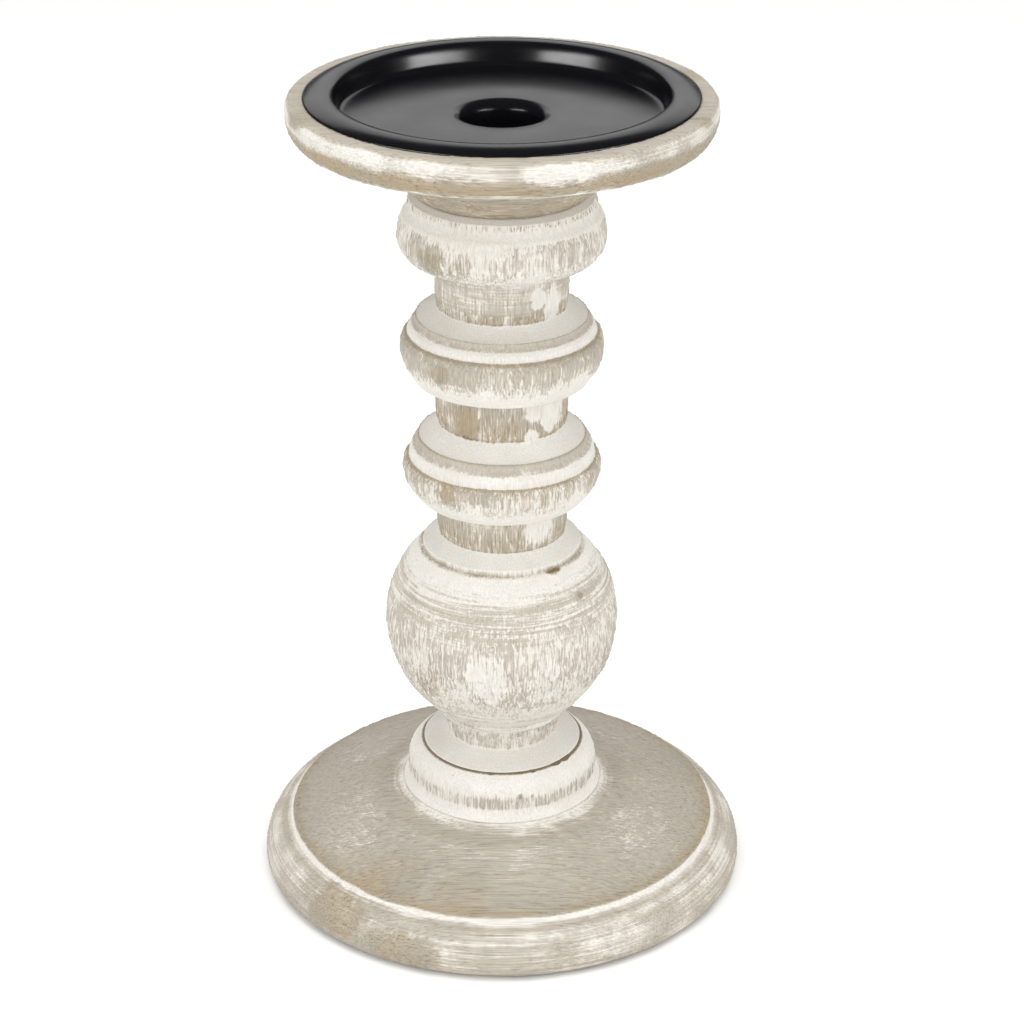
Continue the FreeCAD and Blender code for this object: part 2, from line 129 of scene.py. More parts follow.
# ---------------------------------------------------------------- settings
class TurnedWoodSettings(bpy.types.PropertyGroup):
    sides: IntProperty(
        name="Sides", description="Faces around a turned piece", default=400, min=64, max=720)
    spacing: length_prop(
        "Spacing", "Distance between rings of points on the visible wood", 0.5, 0.2)
    paint_thickness: length_prop(
        "Paint thickness", "How far the chalk paint stands on the wood", 0.16)
    furrow_depth: length_prop(
        "Furrow depth", "Depth of the brushed-out grain where the paint is thin", 0.22)
    waviness: length_prop("Waviness", "Unevenness of the hand-turned surface", 0.25)
    paint: colour_prop("Chalk paint", "Full coat of the whitewash", "#dfdcd5")
    wash: colour_prop("Thin wash", "Where the paint is rubbed thin over the grain", "#c6bdb1")
    grey_wood: colour_prop("Greyed wood", "Bare wood with grey wash left in its pores", "#9c9688")
    warm_wood: colour_prop("Bare wood", "Mango wood rubbed back to its own colour", "#a5967d")
    # Colour of pores, cracks and dark joints, and also of the painted shade in the seams under
    # beads and flanges.
    pore_and_shade: colour_prop("Pores", "Dark pores, cracks and joints", "#65543f")


class TraySettings(bpy.types.PropertyGroup):
    sides: IntProperty(
        name="Sides", description="Faces around the tray", default=384, min=64, max=720)
    coat: colour_prop("Powder coat", "Satin black coat of the steel tray", "#0f0f12")


class HardwareSettings(bpy.types.PropertyGroup):
    pitch: length_prop("Thread pitch", "Rise of the tie rod's thread in one turn", 1.25, 0.5)
    thread_depth: length_prop("Thread depth", "Depth of the tie rod's thread", 0.6)
    zinc: colour_prop("Zinc", "Bright zinc plate on the steel", "#b9bcc0")


class FeltSettings(bpy.types.PropertyGroup):
    wool: colour_prop("Felt", "Pressed wool felt under the base", "#6f675c")
    nap: length_prop("Nap", "Height of the felt's uneven fibres", 0.12)


class StageSettings(bpy.types.PropertyGroup):
    floor: colour_prop("Floor", "Pale studio floor", "#f7f7f6")
    surround: FloatProperty(
        name="Surround", description="Brightness of the white surround", default=0.86, min=0.0)
    mirrored: FloatProperty(
        name="Mirrored surround", description="Brightness of the dark studio that gloss mirrors",
        default=0.03, min=0.0)
    lens: FloatProperty(
        name="Lens", description="Focal length of the camera",
        default=98.8, min=10.0, unit="CAMERA")


# ---------------------------------------------------------------- sections of the CAD nodes
def half_section(node, tolerance):
    """The node's half section as a chain of (radius, height), merged from a copy of its mesh."""
    copy = bmesh.new()
    copy.from_mesh(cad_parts[node].data)
    bmesh.ops.remove_doubles(copy, verts=copy.verts, dist=1e-6)
    across = Vector((math.cos(SECTION_TURN), math.sin(SECTION_TURN), 0))
    cut = bmesh.ops.bisect_plane(
        copy, geom=copy.verts[:] + copy.edges[:] + copy.faces[:], dist=1e-8,
        plane_co=(0, 0, 0), plane_no=(-across.y, across.x, 0))["geom_cut"]
    spokes = {}
    for edge in cut:
        if not isinstance(edge, bmesh.types.BMEdge):
            continue
        ends = sorted(((v.co.dot(across), v.co.z) for v in edge.verts), reverse=True)
        if ends[0][0] <= 1e-6:
            continue
        if ends[1][0] < 0:
            share = ends[0][0] / (ends[0][0] - ends[1][0])
            ends[1] = (0.0, ends[0][1] + share * (ends[1][1] - ends[0][1]))
        keys = [(round(r * 1e6), round(z * 1e6)) for r, z in ends]
        if keys[0] != keys[1]:
            spokes.setdefault(keys[0], []).append(keys[1])
            spokes.setdefault(keys[1], []).append(keys[0])
    copy.free()
    loose = [key for key, joined in spokes.items() if len(joined) == 1]
    start = min(loose or spokes, key=lambda key: (key[0], key[1]))
    chain = [start]
    before = None
    while True:
        onward = [key for key in spokes[chain[-1]] if key != before and key != chain[-1]]
        if not onward:
            break
        before = chain[-1]
        chain.append(onward[0])
        if chain[-1] == start:
            break
    points = [(r * 1e-6, z * 1e-6) for r, z in chain]
    return thinned(points, tolerance)


def thinned(points, tolerance):
    """Drops points that lie within the tolerance of a straight run."""
    kept = [points[0]]
    first = 0
    while first < len(points) - 1:
        last = first + 1
        while last + 1 < len(points) and all(
                off_chord(points[k], points[first], points[last + 1]) < tolerance
                for k in range(first + 1, last + 1)):
            last += 1
        kept.append(points[last])
        first = last
    return kept


def off_chord(point, start, end):
    dr = end[0] - start[0]
    dz = end[1] - start[1]
    length = math.hypot(dr, dz)
    if length < 1e-9:
        return math.hypot(point[0] - start[0], point[1] - start[1])
    along = ((point[0] - start[0]) * dr + (point[1] - start[1]) * dz) / length ** 2
    along = min(max(along, 0.0), 1.0)
    return math.hypot(point[0] - start[0] - along * dr, point[1] - start[1] - along * dz)


def turn_at(chain, k):
    """Change of direction at a point of the chain, in radians."""
    if k <= 0 or k >= len(chain) - 1:
        return math.pi
    back = math.atan2(chain[k][1] - chain[k - 1][1], chain[k][0] - chain[k - 1][0])
    ahead = math.atan2(chain[k + 1][1] - chain[k][1], chain[k + 1][0] - chain[k][0])
    return abs((ahead - back + math.pi) % (2 * math.pi) - math.pi)


def divided(chain, spacing, corner=0.42):
    """Adds points on a smooth line through the chain, which keeps its corners."""
    made = []
    for k in range(len(chain) - 1):
        here = Vector(chain[k])
        there = Vector(chain[k + 1])
        before = Vector(chain[k - 1]) if turn_at(chain, k) < corner else here * 2 - there
        after = Vector(chain[k + 2]) if turn_at(chain, k + 1) < corner else there * 2 - here
        steps = max(1, round((there - here).length / spacing))
        length = (there - here).length
        leave = tangent(before, here, there) * length
        arrive = tangent(here, there, after) * length
        for step in range(steps):
            t = step / steps
            made.append(here * (2 * t ** 3 - 3 * t ** 2 + 1) + leave * (t ** 3 - 2 * t ** 2 + t)
                        + there * (3 * t ** 2 - 2 * t ** 3) + arrive * (t ** 3 - t ** 2))
    made.append(Vector(chain[-1]))
    return made


def tangent(before, here, after):
    """Direction at a point, leaning to the nearer neighbour."""
    back = (here - before).length
    ahead = (after - here).length
    if back < 1e-9 or ahead < 1e-9:
        return (after - before).normalized()
    return ((here - before) / back * ahead + (after - here) / ahead * back).normalized()


def section_mesh(node, scheme, bottom, spacing):
    """Mesh chain of a node's section, with the paint scheme along its visible part."""
    chain = divided(half_section(node, WOOD_TOLERANCE), spacing)
    marks = []
    for r, z, *values in scheme:
        place = Vector((r * MM, bottom + z * MM))
        nearest = min(range(len(chain)), key=lambda k: (chain[k] - place).length)
        marks.append((nearest, values))
    if marks[0][0] > marks[-1][0]:
        chain.reverse()
        marks = [(len(chain) - 1 - k, values) for k, values in marks]
    first = marks[0][0]
    last = marks[-1][0]
    kept = []
    for k in range(len(chain)):
        inside = first <= k <= last
        ends = k in (0, len(chain) - 1)
        if inside or ends or turn_at(chain, k) > BEND or k % HIDDEN_SKIP == 0:
            kept.append(k)
    mesh = bpy.data.meshes.new(node + "_section")
    mesh.from_pydata([(chain[k].x, 0, chain[k].y) for k in kept],
                     [(i, i + 1) for i in range(len(kept) - 1)], [])
    for slot, label in enumerate(("cover", "drip", "lathe", "tone")):
        layer = mesh.attributes.new(label, "FLOAT", "POINT")
        for i, k in enumerate(kept):
            layer.data[i].value = along_marks(marks, k, slot)
    skin = mesh.attributes.new("skin", "FLOAT", "POINT")
    for i, k in enumerate(kept):
        skin.data[i].value = min(max(min(k - first, last - k) / 3, 0.0), 1.0)
    return mesh


def along_marks(marks, k, slot):
    """Value of the paint scheme at a point, straight between its marks."""
    for (start, low), (end, high) in zip(marks, marks[1:]):
        if start <= k <= end:
            share = (k - start) / max(end - start, 1)
            return low[slot] + share * (high[slot] - low[slot])
    return marks[0][1][slot] if k < marks[0][0] else marks[-1][1][slot]


# ---------------------------------------------------------------- paint and grain
def paint_layers(tree, place, cover, drip, lathe, along_x):
    """Fields of the distressed paint at a place in metres: paint, fibre, dab, ring and blotch.

    The same nodes work in a geometry tree and in a shader tree, so that what stands
    out from the wood is also what is white.  along_x is 1 where the grain lies along
    X and 0 where it stands upright.
    """
    fine = (0.07 + 2.03 * (1 - along_x), 2.1, 0.2 + 1.9 * along_x)       # waves in a millimetre
    broad = (0.04 + 0.86 * (1 - along_x), 0.9, 0.09 + 0.81 * along_x)
    mm = add(tree, VECTOR, {0: place, "Scale": 1 / MM}, "SCALE")
    fibre = add(tree, VECTOR, (mm, fine), "MULTIPLY")
    fibre = add(tree, NOISE, {"Vector": fibre, "Scale": 1.0, "Detail": 3.0, "Roughness": 0.62})
    dab = add(tree, VECTOR, (mm, broad), "MULTIPLY")
    dab = add(tree, NOISE, {"Vector": dab, "Scale": 1.0, "Detail": 2.0, "Roughness": 0.5,
                            "Distortion": 0.35})
    blotch = add(tree, NOISE, {"Vector": mm, "Scale": 0.07, "Detail": 4.0, "Roughness": 0.6})
    ring = ring_lines(tree, mm)
    streaks = add(tree, MATH, (fibre, dab), "ADD")
    coat = cover
    for field, middle, share, strength in (
            (streaks, 1.0, drip, 1.05), (ring, 0.5, lathe, 1.3), (blotch, 0.5, 1.0, 0.95)):
        swing = add(tree, MATH, (field, middle), "SUBTRACT")
        swing = add(tree, MATH, (swing, share), "MULTIPLY")
        coat = add(tree, MATH, (swing, strength, coat), "MULTIPLY_ADD")
    paint = add(tree, RAMP, (coat, 0.14, 0.86), interpolation_type="SMOOTHSTEP")
    return paint, fibre, dab, ring, blotch


def ring_lines(tree, mm):
    """Lines that run round the turning axis, 1 mm apart or finer, with no seam."""
    parts = add(tree, "ShaderNodeSeparateXYZ", (mm,)).node
    level = add(tree, "ShaderNodeCombineXYZ", (parts.outputs[0], parts.outputs[1]))
    radius = add(tree, VECTOR, (level,), "LENGTH", output=1)
    away = add(tree, VECTOR, (level,), "NORMALIZE")
    heading = add(tree, "ShaderNodeSeparateXYZ", (away,)).node
    place = add(tree, "ShaderNodeCombineXYZ", (radius, parts.outputs[2], heading.outputs[0]))
    return add(tree, NOISE, {"Vector": place, "W": heading.outputs[1], "Scale": 1.1,
                             "Detail": 3.0, "Roughness": 0.65}, noise_dimensions="4D")


# ---------------------------------------------------------------- turned pieces
def new_tree(name, inputs):
    """Geometry tree with a mesh in, a mesh out and the named inputs."""
    tree = bpy.data.node_groups.new(name, "GeometryNodeTree")
    tree.interface.new_socket("Geometry", in_out="OUTPUT", socket_type="NodeSocketGeometry")
    tree.interface.new_socket("Geometry", in_out="INPUT", socket_type="NodeSocketGeometry")
    for label, kind in inputs:
        tree.interface.new_socket(label, in_out="INPUT", socket_type="NodeSocket" + kind)
    return tree, tree.nodes.new("NodeGroupInput")


def round_grid(tree, rows, sides):
    """Grid that closes round the axis, with the row and the angle of each of its points."""
    columns = add(tree, MATH, (sides, 1.0), "ADD")
    grid = add(tree, "GeometryNodeMeshGrid", {"Vertices X": rows, "Vertices Y": columns})
    index = add(tree, "GeometryNodeInputIndex")
    row = add(tree, MATH, (index, columns), "DIVIDE")
    row = add(tree, MATH, (row, ROUNDING), "ADD")
    row = add(tree, MATH, (row,), "FLOOR")
    start = add(tree, MATH, (row, columns), "MULTIPLY")
    column = add(tree, MATH, (index, start), "SUBTRACT")
    share = add(tree, MATH, (column, sides), "DIVIDE")
    angle = add(tree, MATH, (share, 2 * math.pi), "MULTIPLY")
    return grid, row, share, angle


def placed_grid(tree, grid, place, angle):
    """Grid with each point at its place in the XZ plane, turned by its angle and welded."""
    place = add(tree, "ShaderNodeVectorRotate", {"Vector": place, "Angle": angle},
                rotation_type="Z_AXIS")
    mesh = add(tree, "GeometryNodeSetPosition", {"Geometry": grid, "Position": place})
    return add(tree, "GeometryNodeMergeByDistance", {"Geometry": mesh, "Distance": WELD})


def swept_grid(tree, given):
    """Grid with one row for each point of the section, turned once about the axis."""
    section = given.outputs["Geometry"]
    count = add(tree, "GeometryNodeAttributeDomainSize", (section,))
    mesh, row, _, angle = round_grid(tree, count, given.outputs["Sides"])
    for label in ("cover", "drip", "lathe", "tone", "skin"):
        value = add(tree, NAMED, {"Name": label})
        value = add(tree, SAMPLE, {0: section, 1: value, "Index": row})
        mesh = add(tree, STORE, {"Geometry": mesh, "Name": label, "Value": value})
    place = add(tree, "GeometryNodeInputPosition")
    place = add(tree, SAMPLE, {0: section, 1: place, "Index": row}, data_type="FLOAT_VECTOR")
    return placed_grid(tree, mesh, place, angle)


def turned_tree(along_x):
    """Turned piece: a swept section, worn places, then paint, furrows and waviness."""
    tree, given = new_tree(
        "Turned wood, grain along X" if along_x else "Turned wood, grain upright",
        [("Sides", "Int"), ("Worn places", "Object"), ("Paint thickness", "Float"),
         ("Furrow depth", "Float"), ("Waviness", "Float"), ("Material", "Material")])
    mesh = swept_grid(tree, given)
    position = add(tree, "GeometryNodeInputPosition")
    away, inside, spot = nearest_worn_place(tree, given, position)
    for label, change in (("cover", "amount"), ("tone", "shade")):
        value = add(tree, NAMED, {"Name": label})
        value = add(tree, MATH, (inside, spot[change], value), "MULTIPLY_ADD")
        mesh = add(tree, STORE, {"Geometry": mesh, "Name": label, "Value": value})
    cover, drip, lathe, skin = (add(tree, NAMED, {"Name": label})
                                for label in ("cover", "drip", "lathe", "skin"))
    paint, fibre, dab, ring, blotch = paint_layers(tree, position, cover, drip, lathe, along_x)
    height = add(tree, MATH, (paint, given.outputs["Paint thickness"]), "MULTIPLY")
    bare = add(tree, MATH, (1.15, paint), "SUBTRACT")
    furrow = add(tree, RAMP, {0: fibre, 1: 0.3, 2: 0.55, 3: -1.0, 4: 0.0})
    furrow = add(tree, MATH, (furrow, bare), "MULTIPLY")
    height = add(tree, MATH, (furrow, given.outputs["Furrow depth"], height), "MULTIPLY_ADD")
    for field, share, depth in ((dab, drip, 1.1 * MM), (ring, lathe, 0.7 * MM),
                                (blotch, 1.0, given.outputs["Waviness"])):
        swing = add(tree, MATH, (field, 0.5), "SUBTRACT")
        swing = add(tree, MATH, (swing, share), "MULTIPLY")
        height = add(tree, MATH, (swing, depth, height), "MULTIPLY_ADD")
    height = add(tree, MATH, (height, skin), "MULTIPLY")
    pit = add(tree, MATH, (away, 1.0), "LESS_THAN")
    pit = add(tree, MATH, (pit, spot["sink"]), "MULTIPLY")
    height = add(tree, MATH, (height, pit), "SUBTRACT")
    normal = add(tree, "GeometryNodeInputNormal")
    offset = add(tree, VECTOR, {0: normal, "Scale": height}, "SCALE")
    mesh = add(tree, "GeometryNodeSetPosition", {"Geometry": mesh, "Offset": offset})
    close_tree(tree, mesh, given)
    return tree


def nearest_worn_place(tree, given, position):
    """Distance to the nearest worn place in its reaches, how far inside it is, its values."""
    places = add(tree, "GeometryNodeObjectInfo", {"Object": given.outputs["Worn places"]},
                 output=4)
    nearest = add(tree, "GeometryNodeSampleNearest", (places, position))
    spot = {}
    for label in ("reach", "tall", "amount", "shade", "sink"):
        value = add(tree, NAMED, {"Name": label})
        spot[label] = add(tree, SAMPLE, {0: places, 1: value, "Index": nearest})
    centre = add(tree, SAMPLE, {0: places, 1: position, "Index": nearest},
                 data_type="FLOAT_VECTOR")
    away = add(tree, VECTOR, (position, centre), "SUBTRACT")
    squeeze = add(tree, "ShaderNodeCombineXYZ", (1.0, 1.0, spot["tall"]))
    away = add(tree, VECTOR, (away, squeeze), "DIVIDE")
    away = add(tree, VECTOR, (away,), "LENGTH", output=1)
    away = add(tree, MATH, (away, spot["reach"]), "DIVIDE")
    ragged = add(tree, NOISE, {"Vector": position, "Scale": 380.0, "Detail": 3.0})
    ragged = add(tree, MATH, (ragged, 0.5), "SUBTRACT")
    blur = add(tree, MATH, (ragged, 1.2, away), "MULTIPLY_ADD")
    inside = add(tree, RAMP, {0: blur, 1: 0.45, 2: 1.0, 3: 1.0, 4: 0.0},
                 interpolation_type="SMOOTHSTEP")
    return away, inside, spot


def plain_turned_tree():
    """Turned piece with nothing added to its swept section."""
    tree, given = new_tree("Plain turned piece", [("Sides", "Int"), ("Material", "Material")])
    close_tree(tree, swept_grid(tree, given), given)
    return tree


def close_tree(tree, mesh, given):
    """Smooth shading, real instances and the material, then the way out."""
    mesh = add(tree, "GeometryNodeSetShadeSmooth", {"Geometry": mesh})
    mesh = add(tree, "GeometryNodeRealizeInstances", {"Geometry": mesh})
    mesh = add(tree, "GeometryNodeSetMaterial",
               {"Geometry": mesh, "Material": given.outputs["Material"]})
    out = tree.nodes.new("NodeGroupOutput")
    tree.links.new(mesh, out.inputs[0])


def grown(name, mesh, tree, values):
    """Object with what the tree makes of a mesh, as a plain mesh with its faces outwards."""
    seed = linked(name + "_seed", mesh)
    modifier = seed.modifiers.new("Grow", "NODES")
    modifier.node_group = tree
    for item in tree.interface.items_tree:
        if item.in_out == "INPUT" and item.name in values:
            modifier[item.identifier] = values[item.name]
    made = bpy.data.meshes.new_from_object(
        seed.evaluated_get(bpy.context.evaluated_depsgraph_get()))
    made.name = name
    bpy.data.objects.remove(seed)
    faces = bmesh.new()
    faces.from_mesh(made)
    bmesh.ops.dissolve_degenerate(faces, edges=faces.edges, dist=1e-7)
    bmesh.ops.recalc_face_normals(faces, faces=faces.faces)
    faces.to_mesh(made)
    faces.free()
    return linked(name, made)


def worn_places(name, rows, bottom):
    """Loose points that carry the worn places of a piece."""
    mesh = bpy.data.meshes.new(name)
    spots = []
    for degrees, r, z, *_ in rows:
        turn = math.radians(degrees)
        spots.append((r * MM * math.cos(turn), r * MM * math.sin(turn), bottom + z * MM))
    mesh.from_pydata(spots, [], [])
    for slot, (label, unit) in enumerate((("reach", MM), ("tall", 1), ("amount", 1),
                                          ("shade", 1), ("sink", MM))):
        layer = mesh.attributes.new(label, "FLOAT", "POINT")
        for i, row in enumerate(rows):
            layer.data[i].value = (*row, 0.0)[3 + slot] * unit
    return linked(name, mesh)


def turned_piece(node, bottom, tree, material, scheme, places, sides):
    """Replaces a CAD node, seated at the height bottom, with the same shape in painted wood."""
    wood = bpy.context.scene.turned_wood
    chain = section_mesh(node, scheme, bottom, wood.spacing)
    marker = worn_places(node + "_worn_places", places, bottom)
    piece = grown(node + "_painted", chain, tree, {
        "Sides": sides, "Worn places": marker, "Paint thickness": wood.paint_thickness,
        "Furrow depth": wood.furrow_depth, "Waviness": wood.waviness, "Material": material})
    bpy.data.objects.remove(marker)
    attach(piece, "candlestick")
    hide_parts(node)
    return piece


# ---------------------------------------------------------------- materials
def new_material(name):
    material = bpy.data.materials.new(name)
    material.use_nodes = True
    tree = material.node_tree
    tree.nodes.clear()
    shader = tree.nodes.new("ShaderNodeBsdfPrincipled")
    out = tree.nodes.new("ShaderNodeOutputMaterial")
    tree.links.new(shader.outputs[0], out.inputs[0])
    return material, tree, shader


def painted_wood(name, along_x):
    """Mango wood under brushed-back chalk paint.

    The eye sees matt cream paint with soft ragged edges, a pinkish grey wash where
    it thins, and open grain with dark pores where the wood is bare.
    """
    wood = bpy.context.scene.turned_wood
    material, tree, shader = new_material(name)
    place = add(tree, "ShaderNodeTexCoord", output=3)
    value = {label: add(tree, "ShaderNodeAttribute", output=2, attribute_name=label)
             for label in ("cover", "drip", "lathe", "tone")}
    paint, fibre, dab, ring, blotch = paint_layers(
        tree, place, value["cover"], value["drip"], value["lathe"], along_x)
    warmth = add(tree, MATH, (blotch, 2.4, -1.2 - 0.12 * along_x), "MULTIPLY_ADD")
    warmth = add(tree, MATH, (warmth, value["tone"]), "ADD", use_clamp=True)
    bare = add(tree, MIX, {0: warmth, 6: rgba(wood.grey_wood),
                                       7: rgba(wood.warm_wood)}, **OF_COLOURS)
    pores = add(tree, RAMP, {0: fibre, 1: 0.28, 2: 0.46, 3: 0.38 + 0.2 * along_x, 4: 0.0})
    bare = add(tree, MIX, {0: pores, 6: bare, 7: rgba(wood.pore_and_shade)}, **OF_COLOURS)
    film = add(tree, RAMP, {0: value["tone"], 1: 0.0, 2: 0.7, 3: 0.6 - 0.2 * along_x, 4: 0.0})
    bare = add(tree, MIX, {0: film, 6: bare, 7: rgba(wood.wash)}, **OF_COLOURS)
    rubbed = add(tree, RAMP, {0: paint, 2: 0.45})
    thin = add(tree, MIX, {0: 0.55, 6: bare, 7: rgba(wood.wash)}, **OF_COLOURS)
    colour = add(tree, MIX, {0: rubbed, 6: bare, 7: thin}, **OF_COLOURS)
    full = add(tree, RAMP, (paint, 0.35, 0.8))
    chalk = add(tree, RAMP, {0: blotch, 1: 0.35, 2: 0.65, 3: 0.0, 4: 0.28})
    coat = add(tree, MIX, {0: chalk, 6: rgba(wood.paint), 7: rgba(wood.wash)}, **OF_COLOURS)
    colour = add(tree, MIX, {0: full, 6: colour, 7: coat}, **OF_COLOURS)
    stroke = add(tree, RAMP,
                 {0: fibre, 1: 0.3, 2: 0.7, 3: 0.86 - 0.08 * along_x, 4: 1.07 + 0.05 * along_x})
    colour = add(tree, VECTOR, {0: colour, "Scale": stroke}, "SCALE")
    # Dark lines where the tone is high: cracks and dark joints, and painted shade at the seams
    # under beads and flanges.
    crack_and_shade = add(tree, MATH, (fibre, 2.2, value["tone"]), "MULTIPLY_ADD")
    crack_and_shade = add(tree, RAMP, {0: crack_and_shade, 1: 2.45, 2: 3.1, 3: 0.0, 4: 0.8})
    colour = add(tree, MIX, {0: crack_and_shade, 6: colour, 7: rgba(wood.pore_and_shade)}, **OF_COLOURS)
    tree.links.new(colour, shader.inputs["Base Color"])
    rough = add(tree, RAMP, {0: paint, 3: 0.62, 4: 0.8})
    tree.links.new(rough, shader.inputs["Roughness"])
    relief = add(tree, MATH, (paint, 0.5, fibre), "MULTIPLY_ADD")
    bump = add(tree, "ShaderNodeBump", {"Height": relief, "Strength": 0.3,
                                        "Distance": 0.15 * MM})
    tree.links.new(bump, shader.inputs["Normal"])
    shader.inputs["Specular IOR Level"].default_value = 0.25
    return material


def mottled(tree, shader, colour, low, high, noise):
    """Tints the colour from low to high by a noise over the piece, and returns the noise."""
    place = add(tree, "ShaderNodeTexCoord", output=3)
    field = add(tree, NOISE, {"Vector": place, **noise})
    tint = add(tree, RAMP, {0: field, 1: 0.3, 2: 0.7, 3: low, 4: high})
    colour = add(tree, VECTOR, {0: colour, "Scale": tint}, "SCALE")
    tree.links.new(colour, shader.inputs["Base Color"])
    return field


def powder_coated_steel():
    """Mild steel pressed and powder coated in satin black: soft clear reflections, faint peel."""
    material, tree, shader = new_material("Satin black powder-coated steel")
    peel = mottled(tree, shader, bpy.context.scene.candle_tray.coat, 0.85, 1.2,
                   {"Scale": 1 / (0.9 * MM), "Detail": 2.0, "Roughness": 0.5})
    place = add(tree, "ShaderNodeTexCoord", output=3)
    haze = add(tree, NOISE, {"Vector": place, "Scale": 1 / (22 * MM), "Detail": 4.0,
                             "Roughness": 0.6})
    rough = add(tree, RAMP, {0: haze, 1: 0.3, 2: 0.7, 3: 0.2, 4: 0.27})
    tree.links.new(rough, shader.inputs["Roughness"])
    bump = add(tree, "ShaderNodeBump", {"Height": peel, "Strength": 0.12, "Distance": 0.03 * MM})
    tree.links.new(bump, shader.inputs["Normal"])
    return material


def zinc_plated_steel():
    """Rolled and machined steel with bright zinc plate: cool grey, fine spangle."""
    material, tree, shader = new_material("Zinc-plated steel")
    spangle = mottled(tree, shader, bpy.context.scene.candle_hardware.zinc, 0.82, 1.06,
                      {"Scale": 1 / (1.6 * MM), "Detail": 4.0, "Roughness": 0.6})
    rough = add(tree, RAMP, {0: spangle, 1: 0.3, 2: 0.7, 3: 0.25, 4: 0.42})
    tree.links.new(rough, shader.inputs["Roughness"])
    shader.inputs["Metallic"].default_value = 1.0
    return material


def pressed_felt():
    """Needled wool felt, 1 mm thick: matt, with short tangled fibres in two close shades."""
    material, tree, shader = new_material("Pressed wool felt")
    fibres = mottled(tree, shader, bpy.context.scene.candle_felt.wool, 0.7, 1.25,
                     {"Scale": 1 / (0.6 * MM), "Detail": 5.0, "Roughness": 0.7,
                      "Distortion": 1.5})
    shader.inputs["Roughness"].default_value = 0.95
    shader.inputs["Sheen Weight"].default_value = 0.4
    bump = add(tree, "ShaderNodeBump", {"Height": fibres, "Strength": 0.6,
                                        "Distance": 0.25 * MM})
    tree.links.new(bump, shader.inputs["Normal"])
    return material


def studio_paper():
    """Pressed wood-pulp paper, matt white, with a faint tooth."""
    material, tree, shader = new_material("Matt white studio paper")
    mottled(tree, shader, bpy.context.scene.candle_stage.floor, 0.99, 1.01,
            {"Scale": 900.0, "Detail": 2.0})
    shader.inputs["Roughness"].default_value = 1.0
    shader.inputs["Specular IOR Level"].default_value = 0.0
    return material


# ---------------------------------------------------------------- how each piece is painted
# A scheme's marks run along the visible section: radius, height above the seat (mm), then
# cover (1 is a full coat), drip (strokes along the grain), lathe (lines round the axis) and
# tone (0 greyed, 1 warm bare wood, 2 dark joints and cracks). At the seams where a collar's top
# meets the bead or flange of the piece above, these dark marks also paint the shade in the seam.
# A worn place: degrees round the axis, radius, height, reach (mm), how tall it is for its
# width, what it adds to the cover and to the tone, and its depth (mm) where it is sunk.
BASE_SCHEME = (
    (74.4, 0.0, 0.3, 0.0, 0.6, 0.35), (76.9, 2.5, 0.38, 0.1, 0.8, 0.35),
    (75.6, 8.0, 0.44, 0.1, 0.9, 0.25), (71.5, 12.6, 0.46, 0.1, 0.8, 0.15),
    (70.4, 13.4, 0.28, 0.1, 0.5, 0.2), (69.3, 14.2, 0.5, 0.0, 0.6, 0.1),
    (68.3, 15.3, 0.86, 0.0, 0.3, 0.1), (67.9, 15.9, 0.55, 0.0, 0.2, 0.4),
    (67.3, 16.4, -0.05, 0.5, 0.3, 0.8), (65.0, 17.2, 0.02, 0.6, 0.5, 0.4),
    (62.0, 18.2, 0.06, 0.6, 0.5, 0.2), (52.0, 21.3, 0.16, 0.7, 0.7, 0.02),
    (43.0, 23.8, 0.22, 0.7, 0.7, 0.0), (39.0, 24.9, 0.02, 0.5, 0.6, 0.15),
    (36.0, 25.8, 0.28, 0.4, 0.8, 0.05), (33.5, 27.0, 0.52, 0.4, 0.5, 0.1),
    (32.1, 27.3, 0.6, 0.1, 0.2, 0.5), (31.8, 27.4, 0.5, 0.1, 0.2, 1.2))
BASE_PLACES = (
    (226, 75, 9, 17, 0.5, -0.26, 0.5), (246, 76, 6, 16, 0.4, -0.28, 0.5),
    (236, 60, 18, 15, 1, -0.1, 0.3), (258, 61, 18, 14, 1, -0.06, 0.22),
    (205, 55, 20, 16, 1, 0.2, -0.1), (325, 52, 21, 18, 1, 0.2, -0.1),
    (282, 47, 22, 15, 1, 0.14, -0.1), (18, 56, 20, 17, 1, -0.06, 0.1),
    (300, 76, 7, 14, 0.4, 0.16, -0.2), (75, 75, 8, 20, 0.5, -0.22, 0.4),
    (140, 75, 7, 15, 0.5, -0.2, 0.4), (100, 55, 20, 18, 1, -0.06, 0.3),
    (150, 50, 21, 16, 1, 0.14, 0.0))
FOOT_SCHEME = (
    (31.8, 0.0, 0.85, 0.2, 0.2, 0.9), (31.4, 0.8, 1.0, 0.2, 0.2, 0.1),
    (30.2, 3.2, 0.92, 0.5, 0.2, 0.1), (30.0, 4.2, 0.5, 1.4, 0.1, 0.1),
    (30.0, 7.4, 0.52, 1.4, 0.1, 0.1), (29.8, 8.6, 0.84, 0.8, 0.2, 0.1),
    (29.0, 10.6, 0.86, 0.3, 0.3, 0.1), (26.2, 13.9, 0.92, 0.2, 0.2, 0.2),
    # The last two marks, along the top edge under the ball spindle's flange, are a dark joint with
    # the shadow of the gap painted in.
    (25.7, 14.15, 0.6, 0.2, 0.2, 1.5), (25.3, 14.3, 0.4, 0.2, 0.2, 2.4))
